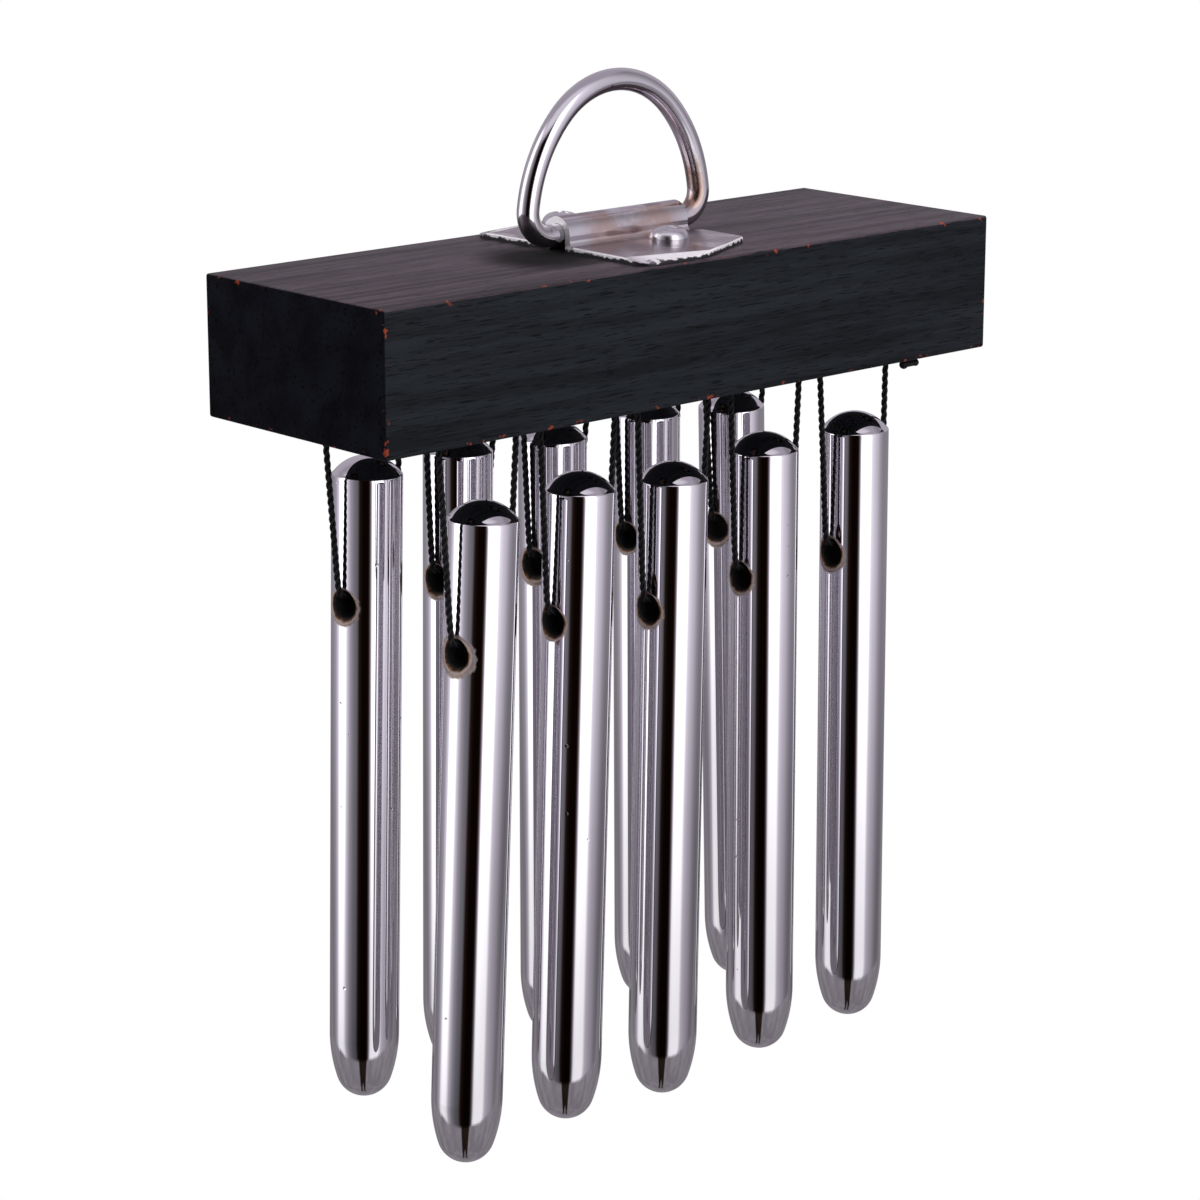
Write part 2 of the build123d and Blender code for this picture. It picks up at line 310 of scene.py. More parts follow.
def arc(centre, radius, first, last, steps):
    """Points (across, up) round an arc, angles in degrees."""
    angles = [math.radians(first + (last - first) * k / steps) for k in range(steps + 1)]
    return [
        (centre[0] + radius * math.cos(angle), centre[1] + radius * math.sin(angle))
        for angle in angles
    ]


def bar_outline():
    """Half of the bar's outline, from the middle of the dome down to the nose's tip."""
    dome_radius = (bar_radius**2 + dome_height**2) / (2 * dome_height)
    dome_middle = bar_top - dome_height - math.sqrt(dome_radius**2 - bar_radius**2)
    dome_edge = math.degrees(math.acos((bar_radius - rim_round) / dome_radius))
    dome = arc((0, dome_middle), dome_radius, 90, dome_edge, 18)
    edge_up = dome[-1][1]
    rim_bottom = bar_top - dome_height - rim_round
    rim = [
        (bar_radius - rim_round * 0.62, edge_up - rim_round * 0.28),
        (bar_radius - rim_round * 0.28, edge_up - rim_round * 0.62),
        (bar_radius - rim_round * 0.07, edge_up - rim_round * 1.05),
        (bar_radius, rim_bottom - rim_round * 0.5),
    ]
    spare = nose_length - tip_radius
    shoulder_radius = (bar_radius**2 - tip_radius**2 + spare**2) / 2 / (bar_radius - tip_radius)
    nose_start = bar_tip + nose_length
    shoulder_middle = (bar_radius - shoulder_radius, nose_start)
    meet = math.degrees(math.atan2(-spare, shoulder_radius - bar_radius))
    shoulder = arc(shoulder_middle, shoulder_radius, 0, meet, 14)
    tip = arc((0, bar_tip + tip_radius), tip_radius, meet, -90, 22)
    # Close rings where the hole will be cut, wider ones above and below it
    hole_zone = [hole_height + k * 0.4 * mm for k in range(9, -10, -1)]
    below = [hole_zone[-1] + (nose_start - hole_zone[-1]) * k / 16 for k in range(1, 16)]
    above = [rim[-1][1] + (hole_zone[0] - rim[-1][1]) * k / 8 for k in range(1, 8)]
    shank = [(bar_radius, z) for z in [*above, *hole_zone, *below]]
    return [*dome, *rim, *shank, *shoulder, *tip[1:]]


def lathe(name, outline, segments):
    """A solid turned from half its outline: the outline is drawn as a chain of extruded
    points, spun once round the Z axis, and closed at its poles."""
    deselect()
    bpy.ops.mesh.primitive_plane_add(size=0.001, location=(0, 0, 0))
    piece = bpy.context.object
    piece.name = piece.data.name = name
    bpy.ops.object.mode_set(mode="EDIT")
    bpy.ops.mesh.merge(type="CENTER")
    targets = [Vector((across, 0, up)) for across, up in outline]
    bpy.ops.transform.translate(value=targets[0])
    for place, target in zip(targets, targets[1:]):
        bpy.ops.mesh.extrude_region_move(TRANSFORM_OT_translate={"value": target - place})
    bpy.ops.mesh.select_all(action="SELECT")
    bpy.ops.mesh.spin(steps=segments, angle=math.tau, center=(0, 0, 0), axis=(0, 0, 1))
    bpy.ops.mesh.select_all(action="SELECT")
    bpy.ops.mesh.remove_doubles(threshold=1e-6)
    bpy.ops.mesh.normals_make_consistent(inside=False)
    bpy.ops.object.mode_set(mode="OBJECT")
    return piece


def apply_all(piece):
    """Applies every modifier of a piece, in their order."""
    deselect()
    piece.select_set(True)
    bpy.context.view_layer.objects.active = piece
    for modifier in list(piece.modifiers):
        bpy.ops.object.modifier_apply(modifier=modifier.name)


def hole_cutter():
    """The drill and its two countersinks, as one turned solid laid along X."""
    over = 1.2 * mm
    outline = [
        (0, bar_radius + over),
        (hole_radius + countersink + over, bar_radius + over),
        (hole_radius, bar_radius - countersink),
        (hole_radius, 0),
        (hole_radius, countersink - bar_radius),
        (hole_radius + countersink + over, -bar_radius - over),
        (0, -bar_radius - over),
    ]
    cutter = lathe("cutter", outline, 96)
    cutter.data.transform(
        Matrix.Translation((0, 0, hole_height)) @ Matrix.Rotation(math.radians(90), 4, "Y")
    )
    return cutter


def turned_bar():
    """The pattern of all bars. Each point keeps its place on the pattern, for the material."""
    bar = lathe("bar", bar_outline(), bar_segments)
    bar.data.transform(Matrix.Rotation(math.pi / bar_segments, 4, "Z"))
    cutter = hole_cutter()
    drill = bar.modifiers.new("drill", "BOOLEAN")
    drill.operation = "DIFFERENCE"
    drill.solver = "EXACT"
    drill.object = cutter
    apply_all(bar)
    bpy.data.objects.remove(cutter)
    place = bar.data.attributes.new("place", "FLOAT_VECTOR", "POINT")
    for vertex, item in zip(bar.data.vertices, place.data):
        item.vector = vertex.co
    bpy.ops.object.shade_smooth_by_angle(angle=math.radians(28))
    return bar


def maths(tree, operation, first, second=0.0, third=0.0):
    """One step of arithmetic; gives its result."""
    inputs = {0: first, 1: second, 2: third}
    return add_node(tree, "ShaderNodeMath", operation=operation, inputs=inputs).outputs[0]


def fade(tree, value, first, last):
    """A mask that goes smoothly from 0 to 1 as a value goes from first to last."""
    node = add_node(
        tree, "ShaderNodeMapRange", interpolation_type="SMOOTHSTEP",
        inputs={"Value": value, "From Min": first, "From Max": last},
    )
    return node.outputs["Result"]


def blend_colour(tree, factor, first, second):
    """A mix of two colours, each a value or a link."""
    inputs = {"Factor": factor, "A": first, "B": second}
    for side in ("A", "B"):
        if isinstance(inputs[side], tuple):
            inputs[side] = (*inputs[side], 1)
    return add_node(tree, "ShaderNodeMix", data_type="RGBA", inputs=inputs).outputs["Result"]


def mix_value(tree, factor, first, second):
    """A mix of two numbers, each a value or a link."""
    node = add_node(tree, "ShaderNodeMix", inputs={"Factor": factor, "A": first, "B": second})
    return node.outputs["Result"]


def spread(tree, vector, scale, detail=3.0, roughness=0.5, stretch=(1, 1, 1), turned=(0, 0, 0)):
    """A noise over a vector, drawn out along some of its axes; gives its value."""
    drawn = add_node(
        tree, "ShaderNodeMapping", inputs={"Vector": vector, "Scale": stretch, "Rotation": turned}
    ).outputs["Vector"]
    return add_node(
        tree, "ShaderNodeTexNoise",
        inputs={"Vector": drawn, "Scale": scale, "Detail": detail, "Roughness": roughness},
    ).outputs["Fac"]


def make_group(name, inputs, outputs):
    """An empty node group with its sockets; gives its tree, its input node and output node."""
    tree = bpy.data.node_groups.new(name, "ShaderNodeTree")
    for socket, kind in inputs.items():
        tree.interface.new_socket(socket, in_out="INPUT", socket_type=kind)
    for socket, kind in outputs.items():
        tree.interface.new_socket(socket, in_out="OUTPUT", socket_type=kind)
    return tree, tree.nodes.new("NodeGroupInput"), tree.nodes.new("NodeGroupOutput")


def patches_group():
    """Ragged patches, as tarnish and rust spread: a mask over all that lies above a level."""
    tree, given, result = make_group(
        "ragged_patches",
        {"Vector": "NodeSocketVector", "Scale": "NodeSocketFloat", "Level": "NodeSocketFloat",
         "Softness": "NodeSocketFloat"},
        {"Mask": "NodeSocketFloat"},
    )
    noise = add_node(
        tree, "ShaderNodeTexNoise",
        inputs={"Vector": given.outputs["Vector"], "Scale": given.outputs["Scale"],
                "Detail": 6.0, "Roughness": 0.62, "Distortion": 0.4},
    ).outputs["Fac"]
    above = maths(tree, "ADD", given.outputs["Level"], given.outputs["Softness"])
    mask = fade(tree, noise, given.outputs["Level"], above)
    tree.links.new(mask, result.inputs["Mask"])
    return tree


def pitting_group():
    """Small round pits in the plating, here and there; a mask that is 1 at a pit's middle."""
    tree, given, result = make_group(
        "plating_pits",
        {"Vector": "NodeSocketVector", "Scale": "NodeSocketFloat", "Size": "NodeSocketFloat",
         "Share": "NodeSocketFloat"},
        {"Mask": "NodeSocketFloat"},
    )
    cells = add_node(
        tree, "ShaderNodeTexVoronoi",
        inputs={"Vector": given.outputs["Vector"], "Scale": given.outputs["Scale"]},
    )
    lot = add_node(
        tree, "ShaderNodeSeparateColor", inputs={"Color": cells.outputs["Color"]}
    ).outputs["Red"]
    chosen = maths(tree, "LESS_THAN", lot, given.outputs["Share"])
    outward = maths(tree, "DIVIDE", cells.outputs["Distance"], given.outputs["Size"])
    depth = maths(tree, "MAXIMUM", maths(tree, "SUBTRACT", 1.0, outward), 0.0)
    tree.links.new(maths(tree, "MULTIPLY", depth, chosen), result.inputs["Mask"])
    return tree


ragged_patches = patches_group()
plating_pits = pitting_group()


def patches(tree, vector, scale, level, softness):
    """The mask of the ragged patches over a vector."""
    return add_node(
        tree, "ShaderNodeGroup", node_tree=ragged_patches,
        inputs={"Vector": vector, "Scale": scale, "Level": level, "Softness": softness},
    ).outputs["Mask"]


def pits(tree, vector, scale, size, share):
    """The mask of the pits over a vector: their size in cells, and the share of cells with one."""
    return add_node(
        tree, "ShaderNodeGroup", node_tree=plating_pits,
        inputs={"Vector": vector, "Scale": scale, "Size": size, "Share": share},
    ).outputs["Mask"]


def bumped(tree, shader, height, depth):
    """Raises or sinks the surface by a height of 0 to 1 times a depth."""
    bump = add_node(tree, "ShaderNodeBump", inputs={"Height": height, "Distance": depth})
    tree.links.new(bump.outputs["Normal"], shader.inputs["Normal"])


bright_plate = (0.74, 0.715, 0.765)
rust_pale, rust_tan, rust_brown = (0.33, 0.21, 0.13), (0.20, 0.105, 0.05), (0.055, 0.025, 0.012)
bore_painted_shade = (0.004, 0.003, 0.003)
speck_grey = (0.25, 0.2, 0.18)
pattern_shift = (3.1, 1.7, 2.3)  # moves the patterns by a bar's wear, so that no two bars match
halo_inset = 0.7 * mm  # the halo's reach inside the countersink's rim, with no wear
halo_spread = 0.9 * mm  # how much further it reaches with full wear
halo_softness = 0.5 * mm


def plated_bar():
    """Mirror chrome with faint draw lines and turning marks, a few pits, rust at the hole, and
    painted shade in its bore.
    """
    material, tree, shader = new_material("bar_chrome")
    place = add_node(tree, "ShaderNodeAttribute", attribute_name="place").outputs["Vector"]
    wear = add_node(tree, "ShaderNodeAttribute", attribute_name="wear").outputs["Fac"]
    axes = add_node(tree, "ShaderNodeSeparateXYZ", inputs={"Vector": place})
    across, up = axes.outputs["Y"], axes.outputs["Z"]
    shifted = add_node(
        tree, "ShaderNodeCombineXYZ", inputs={"X": wear, "Y": wear, "Z": wear}
    ).outputs["Vector"]
    own = add_node(
        tree, "ShaderNodeVectorMath", operation="MULTIPLY_ADD",
        inputs={0: shifted, 1: pattern_shift, 2: place},
    ).outputs["Vector"]

    # Distance from the hole's axis, ragged, and reaching further below the hole
    over_hole = maths(tree, "SUBTRACT", up, hole_height)
    over_squared = maths(tree, "MULTIPLY", over_hole, over_hole)
    from_axis = maths(tree, "SQRT", maths(tree, "MULTIPLY_ADD", across, across, over_squared))
    ragged = maths(tree, "SUBTRACT", spread(tree, own, 700.0, 4.0, 0.65), 0.5)
    below = maths(tree, "MULTIPLY", fade(tree, over_hole, 1.0 * mm, -4.0 * mm), 0.4 * mm)
    edge = maths(tree, "MULTIPLY_ADD", ragged, 1.1 * mm, maths(tree, "SUBTRACT", from_axis, below))
    rim = hole_radius + countersink
    reach = maths(tree, "MULTIPLY_ADD", wear, halo_spread, rim - halo_inset)
    halo = fade(tree, edge, maths(tree, "ADD", reach, halo_softness), reach)
    cone = fade(tree, from_axis, rim + 0.05 * mm, rim - 0.05 * mm)
    bore = fade(tree, from_axis, hole_radius + 0.14 * mm, hole_radius + 0.04 * mm)

    cloud = spread(tree, place, 60.0, 4.0)
    plate = ramp(tree, cloud, [(0.35, tuple(c * 0.965 for c in bright_plate)), (0.7, bright_plate)])
    tan = ramp(
        tree, spread(tree, own, 1300.0, 3.0),
        [(0.3, rust_brown), (0.5, rust_tan), (0.75, rust_pale)],
    )
    colour = blend_colour(tree, maths(tree, "MULTIPLY", halo, 0.75), plate, tan)
    # The countersink: painted shade, near black, where it meets the bore; rust in places; bare
    # plate towards its rim
    outward = fade(tree, from_axis, hole_radius, rim)
    rust_and_mouth_shade = ramp(
        tree, maths(tree, "MULTIPLY_ADD", ragged, 1.5, outward),
        [(0.12, (0.006, 0.004, 0.004)), (0.32, (0.07, 0.028, 0.011)), (0.55, (0.24, 0.11, 0.045)),
         (0.85, (0.5, 0.41, 0.38))],
    )
    colour = blend_colour(tree, cone, colour, rust_and_mouth_shade)
    # Painted shade: the bore is painted near black, dull and not metallic
    colour = blend_colour(tree, bore, colour, bore_painted_shade)
    specks = pits(tree, own, 300.0, 0.11, 0.08)
    colour = blend_colour(tree, maths(tree, "MULTIPLY", specks, 0.5), colour, speck_grey)
    tree.links.new(colour, shader.inputs["Base Color"])

    rusted_cone = maths(tree, "MULTIPLY", cone, 0.45)
    rust_and_bore_shade = maths(tree, "MAXIMUM", maths(tree, "MULTIPLY", halo, 0.6), rusted_cone)
    rust_and_bore_shade = maths(tree, "MAXIMUM", rust_and_bore_shade, bore)
    tree.links.new(maths(tree, "SUBTRACT", 1.0, rust_and_bore_shade), shader.inputs["Metallic"])
    gloss = ramp(tree, cloud, [(0.3, 0.028), (0.8, 0.05)])
    tree.links.new(mix_value(tree, rust_and_bore_shade, gloss, 0.8), shader.inputs["Roughness"])

    # Fine lines along the bar from polishing, and rings round the nose from turning
    drawn = spread(tree, own, 1.0, 2.0, 0.5, stretch=(1500, 1500, 14))
    turned = spread(tree, own, 1.0, 2.0, 0.6, stretch=(40, 40, 5200))
    on_nose = fade(tree, up, bar_tip + nose_length + 4 * mm, bar_tip + nose_length - 4 * mm)
    marks = mix_value(tree, on_nose, drawn, turned)
    depth = mix_value(tree, on_nose, 0.012, 0.03)
    height = maths(tree, "MULTIPLY_ADD", marks, depth, maths(tree, "MULTIPLY", specks, -1.6))
    height = maths(tree, "MULTIPLY_ADD", maths(tree, "MULTIPLY", ragged, rust_and_bore_shade), 1.2, height)
    bumped(tree, shader, height, 0.05 * mm)
    return material


bar_material = plated_bar()
# How worn the plating is round each bar's hole, from 0 to 1
bar_wear = {"front_1": 1.0, "front_2": 0.12, "front_3": 0.45, "front_4": 0.3, "front_5": 0.6}
bar_wear |= {"rear_1": 0.5, "rear_2": 0.35, "rear_3": 0.75, "rear_4": 0.25, "rear_5": 0.55}
bar_pattern = turned_bar()
for row in ("front", "rear"):
    for n in range(1, 6):
        name = f"{row}_{n}"
        bar = bpy.data.objects.new(f"chrome_bar_{name}", bar_pattern.data.copy())
        bpy.context.scene.collection.objects.link(bar)
        bar.data.transform(hang_frame(name))
        wear = bar.data.attributes.new("wear", "FLOAT", "POINT")
        wear.data.foreach_set("value", [bar_wear[name]] * len(bar.data.vertices))
        dress(bar, bar_material)
        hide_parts(f"bar_{name}")
        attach(bar, f"bar_{name}")
bpy.data.objects.remove(bar_pattern)


# ------------------------------------------------------------------ block
# A board of open-grained hardwood, planed square and stained black. The stain is thin along
# its edges, where red-brown wood shows in specks, and its end grain drinks the stain up.
block_low, block_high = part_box("wood_block")
block_middle = (block_low + block_high) / 2
block_size = block_high - block_low
block_round = 0.5 * mm
peg_hole_radius = 3.2 * mm
peg_hole_depth = 13 * mm
bar_pitch = 23 * mm
rows_y = [joint_of[f"swing_{row}_1"]["pos_m"][1] for row in ("front", "rear")]
# Where the painted shadow beside the ring's foot lies, and how dark it is
painted_shadow_place = (-20 * mm, -3 * mm, block_high.z)
painted_shadow_black = (0.003, 0.0025, 0.003)
rubbed_grey = (0.05, 0.045, 0.05)
worn_red = (0.27, 0.045, 0.02)


def drilled_board():
    """The board, rounded at its edges, with two rows of blind holes in its underside."""
    deselect()
    bpy.ops.mesh.primitive_cube_add(size=1, location=block_middle)
    board = bpy.context.object
    board.name = board.data.name = "stained_board"
    bpy.ops.object.mode_set(mode="EDIT")
    bpy.ops.transform.resize(value=block_size)
    bpy.ops.mesh.bevel(offset=block_round, segments=4, affect="EDGES")
    bpy.ops.object.mode_set(mode="OBJECT")
    bpy.ops.object.transform_apply(location=True, rotation=True, scale=True)
    deselect()
    bpy.ops.mesh.primitive_cylinder_add(
        vertices=48, radius=peg_hole_radius, depth=2 * peg_hole_depth,
        location=(-2.5 * bar_pitch, rows_y[0], block_low.z),
    )
    drill = bpy.context.object
    for count, step in ((6, (bar_pitch, 0, 0)), (2, (0, rows_y[1] - rows_y[0], 0))):
        repeat = drill.modifiers.new("repeat", "ARRAY")
        repeat.use_relative_offset = False
        repeat.use_constant_offset = True
        repeat.count = count
        repeat.constant_offset_displace = step
    apply_all(drill)
    bpy.ops.object.transform_apply(location=True, rotation=True, scale=True)
    holes = board.modifiers.new("holes", "BOOLEAN")
    holes.operation = "DIFFERENCE"
    holes.solver = "EXACT"
    holes.object = drill
    apply_all(board)
    bpy.data.objects.remove(drill)
    bpy.ops.object.shade_smooth_by_angle(angle=math.radians(35))
    return board


def edge_nearness(tree, place):
    """How far a point lies from the board's nearest edge."""
    local = add_node(
        tree, "ShaderNodeVectorMath", operation="SUBTRACT", inputs={0: place, 1: block_middle}
    ).outputs["Vector"]
    outward = add_node(
        tree, "ShaderNodeVectorMath", operation="ABSOLUTE", inputs={0: local}
    ).outputs["Vector"]
    inside = add_node(
        tree, "ShaderNodeVectorMath", operation="SUBTRACT", inputs={0: block_size / 2, 1: outward}
    ).outputs["Vector"]
    part = add_node(tree, "ShaderNodeSeparateXYZ", inputs={"Vector": inside})
    x, y, z = (part.outputs[axis] for axis in "XYZ")
    near_yz = maths(tree, "ADD", y, z)
    near_x = maths(tree, "ADD", x, maths(tree, "MINIMUM", y, z))
    return maths(tree, "MINIMUM", near_yz, near_x)


def stained_wood(name, dark, light, specular, gloss, grain_step):
    """Stain over open grain, from dark to light along its figure. The grain runs along the axis
    on which grain_step is smallest."""
    material, tree, shader = new_material(name, specular_ior_level=specular)
    place = add_node(tree, "ShaderNodeTexCoord").outputs["Object"]
    lines = spread(tree, place, 1.0, 4.0, 0.6, stretch=grain_step)
    broad = spread(tree, place, 1.0, 2.0, 0.5, stretch=tuple(s / 6 for s in grain_step))
    figure = maths(tree, "MULTIPLY_ADD", broad, 0.6, maths(tree, "MULTIPLY", lines, 0.4))
    pores = spread(tree, place, 1.0, 2.0, 0.5, stretch=tuple(s * 1.7 for s in grain_step))
    pores = fade(tree, pores, 0.60, 0.68)
    colour = ramp(tree, figure, [(0.4, dark), (0.6, light)])
    # Painted shadow: the board is painted near black, and duller, beside the ring's left foot,
    # where the ring and plate shade it
    from_foot = add_node(
        tree, "ShaderNodeVectorMath", operation="DISTANCE",
        inputs={0: place, 1: painted_shadow_place},
    ).outputs["Value"]
    painted_shadow = fade(tree, from_foot, 14 * mm, 5 * mm)
    colour = blend_colour(tree, painted_shadow, colour, painted_shadow_black)
    colour = blend_colour(tree, pores, colour, tuple(c * 0.3 for c in dark))
    # Along the edges the stain is rubbed grey, and gone in specks
    edge = edge_nearness(tree, place)
    worn = maths(
        tree, "MULTIPLY", fade(tree, edge, 1.1 * mm, 0.3 * mm),
        patches(tree, place, 520.0, 0.625, 0.03),
    )
    edge_wear_and_highlight = maths(
        tree, "MULTIPLY", fade(tree, edge, 0.8 * mm, 0.1 * mm),
        patches(tree, place, 160.0, 0.5, 0.2),
    )
    colour = blend_colour(tree, maths(tree, "MULTIPLY", edge_wear_and_highlight, 0.25), colour, rubbed_grey)
    colour = blend_colour(tree, worn, colour, worn_red)
    tree.links.new(colour, shader.inputs["Base Color"])
    shine = ramp(tree, lines, [(0.3, gloss), (0.75, min(1.0, gloss * 1.35))])
    tree.links.new(mix_value(tree, painted_shadow, shine, 0.9), shader.inputs["Roughness"])
    height = maths(tree, "MULTIPLY_ADD", pores, -1.0, maths(tree, "MULTIPLY", lines, 0.5))
    bumped(tree, shader, height, 0.07 * mm)
    return material


board = drilled_board()
face_grain = (110, 2300, 2300)
end_grain = (2300, 900, 900)
side_wood = stained_wood(
    "stained_side", (0.004, 0.0055, 0.0075), (0.012, 0.015, 0.019), 0.12, 0.42, face_grain
)
end_wood = stained_wood(
    "stained_end_grain", (0.002, 0.002, 0.004), (0.006, 0.007, 0.011), 0.05, 0.7, end_grain
)
# Painted light: the top is the same stain, painted lighter for the light that falls on it from
# above
painted_lit_top_wood = stained_wood(
    "stained_top", (0.009, 0.006, 0.008), (0.068, 0.048, 0.06), 0.31, 0.42, face_grain
)
dress(board, side_wood)
# The ends get their own stain, and the top a copy of the stain painted lighter for the light from
# above, once dress has cleared the faces' choices
board.data.materials.append(end_wood)
board.data.materials.append(painted_lit_top_wood)
for face in board.data.polygons:
    if abs(face.normal.x) > 0.75:
        face.material_index = 1
    elif face.normal.z > 0.5:
        face.material_index = 2
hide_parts("wood_block")
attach(board, "beam")


# ------------------------------------------------------------------ ring, plate and screws
# Chromed steel again: a bow of 4 mm wire, a saddle pressed from 1.2 mm sheet, and two
# cross-recessed screws. Fingers and weather have browned the plate and the ring's foot.
plate_thickness = 1.2 * mm
plate_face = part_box("saddle_plate")[0].z + plate_thickness
foot_brown, crown_brown = (0.26, 0.13, 0.08), (0.5, 0.45, 0.45)
pink_brown, dull_purple = (0.50, 0.31, 0.24), (0.26, 0.2, 0.225)
pit_brown = (0.12, 0.09, 0.08)
rim_painted_dark, rim_painted_highlight = (0.02, 0.018, 0.02), (1.0, 0.98, 1.0)


def handled_chrome(name, gloss, brown, flat_brown, patch_size, level, where):
    """Chrome that has been handled: brown patches where a mask allows them, in their own brown
    on flat tops, small pits, and a painted highlight, a bright band over a dark one, where a
    second mask picks edges that catch the light. The function where gives both masks."""
    material, tree, shader = new_material(name, metallic=1.0)
    given = add_node(tree, "ShaderNodeTexCoord")
    place = given.outputs["Object"]
    axes = add_node(tree, "ShaderNodeSeparateXYZ", inputs={"Vector": place}).outputs
    facing = add_node(
        tree, "ShaderNodeSeparateXYZ", inputs={"Vector": given.outputs["Normal"]}
    ).outputs
    browned, edge_wear_and_highlight = where(tree, axes, facing)
    cloud = spread(tree, place, 120.0, 5.0, 0.6)
    stain = maths(tree, "MULTIPLY", browned, patches(tree, place, 1 / patch_size, level, 0.25))
    spots = pits(tree, place, 420.0, 0.2, 0.06)
    plate = ramp(tree, cloud, [(0.3, tuple(c * 0.9 for c in bright_plate)), (0.7, bright_plate)])
    flat = fade(tree, facing["Z"], 0.9, 0.97)
    brown = blend_colour(tree, flat, brown, flat_brown)
    colour = blend_colour(tree, maths(tree, "MULTIPLY", stain, 0.85), plate, brown)
    colour = blend_colour(tree, maths(tree, "MULTIPLY", spots, 0.5), colour, pit_brown)
    # Painted highlight: the edge is painted bright along its top and dark below, in an uneven line
    uneven = maths(tree, "MULTIPLY_ADD", spread(tree, place, 900.0, 3.0), 1.6 * mm, axes["Z"])
    highlight_share = fade(tree, uneven, plate_face + 0.1 * mm, plate_face + 0.4 * mm)
    edge = blend_colour(tree, highlight_share, rim_painted_dark, rim_painted_highlight)
    colour = blend_colour(tree, edge_wear_and_highlight, colour, edge)
    tree.links.new(colour, shader.inputs["Base Color"])
    shine = ramp(tree, cloud, [(0.3, gloss * 1.4), (0.7, gloss)])
    shine = mix_value(tree, stain, shine, 0.26)
    tree.links.new(mix_value(tree, edge_wear_and_highlight, shine, 0.4), shader.inputs["Roughness"])
    tree.links.new(maths(tree, "MULTIPLY_ADD", edge_wear_and_highlight, -0.6, 1.0), shader.inputs["Metallic"])
    scratches = spread(tree, place, 1.0, 3.0, 0.7, stretch=(260, 2600, 2600), turned=(0, 0, 0.5))
    height = maths(tree, "MULTIPLY_ADD", scratches, 0.05, maths(tree, "MULTIPLY", spots, -0.6))
    bumped(tree, shader, height, 0.06 * mm)
    return material


def ring_handling(tree, place, facing):
    """Brown inside the ring's right leg, and here and there near its foot."""
    low = fade(tree, place["Z"], -8 * mm, -17 * mm)
    right = fade(tree, place["X"], 15 * mm, 18 * mm)
    inside = fade(tree, facing["X"], 0.1, -0.5)
    browned = maths(tree, "MULTIPLY", maths(tree, "MULTIPLY", right, inside), low)
    return maths(tree, "MAXIMUM", browned, maths(tree, "MULTIPLY", low, 0.12)), 0.0


def plate_handling(tree, place, facing):
    """Brown over the flanges' flat tops and in the middle of the channel; a painted highlight,
    bright over dark, on the rim, the pressed lip and the left cut ends.
    """
    low = fade(tree, place["Z"], plate_face + 0.1 * mm, plate_face - 0.02 * mm)
    flat = fade(tree, facing["Z"], 0.9, 0.97)
    # Painted highlight on the flange's steep outer rim
    edge_wear_and_highlight = maths(tree, "MULTIPLY", low, fade(tree, facing["Z"], 0.75, 0.55))
    # and on the faces turned to the left, the sheet's cut ends, painted bright
    cut_end = maths(tree, "MULTIPLY", fade(tree, facing["X"], -0.8, -0.95), 0.9)
    # The pressed lip, which is flat but for a slight tilt, gets the painted highlight too
    lip = maths(
        tree, "MULTIPLY", fade(tree, place["Z"], plate_face + 0.06 * mm, plate_face - 0.04 * mm),
        fade(tree, facing["Z"], 0.997, 0.99),
    )
    along_lip = maths(tree, "ABSOLUTE", maths(tree, "ADD", place["X"], 3 * mm))
    lip = maths(tree, "MULTIPLY", lip, fade(tree, along_lip, 14 * mm, 6 * mm))
    edge_wear_and_highlight = maths(tree, "MAXIMUM", edge_wear_and_highlight, maths(tree, "MAXIMUM", cut_end, lip))
    along = maths(tree, "ABSOLUTE", maths(tree, "SUBTRACT", place["X"], 1.5 * mm))
    channel = fade(tree, along, 13 * mm, 8 * mm)
    return mix_value(tree, flat, maths(tree, "MULTIPLY", channel, 0.75), 1.0), edge_wear_and_highlight


def screw_handling(tree, place, facing):
    """A little brown on the crown of each head, and none elsewhere."""
    return fade(tree, facing["Z"], 0.8, 0.98), 0.0


ring_material = handled_chrome(
    "ring_chrome", 0.06, foot_brown, foot_brown, 6 * mm, 0.30, ring_handling
)
plate_material = handled_chrome(
    "plate_chrome", 0.14, pink_brown, dull_purple, 8 * mm, 0.32, plate_handling
)
screw_material = handled_chrome(
    "screw_chrome", 0.2, crown_brown, crown_brown, 3 * mm, 0.45, screw_handling
)
dress(node_of["ring"], ring_material)
dress(node_of["saddle_plate"], plate_material)
dress(node_of["plate_screws"], screw_material)


# ------------------------------------------------------------------ pegs, cord ends and tail
# Bare wooden pegs close the holes in the block's underside, each with the cord's ends glued
# beside it. The last end comes out again as a short knotted tail.
peg_material = stained_wood(
    "peg_wood", (0.03, 0.018, 0.011), (0.075, 0.045, 0.027), 0.1, 0.6, end_grain
)
for node in ("pegs_front", "pegs_rear"):
    dress(node_of[node], peg_material)
for node in ("cord_ends_front", "cord_ends_rear", "cord_tail"):
    dress(node_of[node], cord_material)


# ------------------------------------------------------------------ studio
# The chimes hang high above a pale floor in a white room, between two soft lights, with walls
# that get dimmer towards the floor. The side of the room behind the camera is dark, and the
# metal shows it as a dark stripe.
floor_drop, floor_size = 1.2, 2.4
studio = [
    # degrees round from the camera (to its right), brightness
    (-180, 0.29), (-134, 0.29), (-112, 0.45), (-98, 0.95), (-92, 1.9), (-84, 2.2), (-71, 2.0),
    (-61, 0.87), (-50, 0.42), (-38, 0.235), (-27, 0.165), (-23, 0.07), (-20, 0.02), (-9, 0.004),
    (8, 0.004), (12, 0.04), (16, 0.26), (19, 1.0), (22, 2.0), (29, 2.2), (51, 2.2), (60, 1.1),
    (71, 0.84), (84, 0.655), (97, 0.42), (112, 0.29), (134, 0.29), (180, 0.29),
]
brightest = 2.5
lilac_below, brown_below = 1.5, 0.05
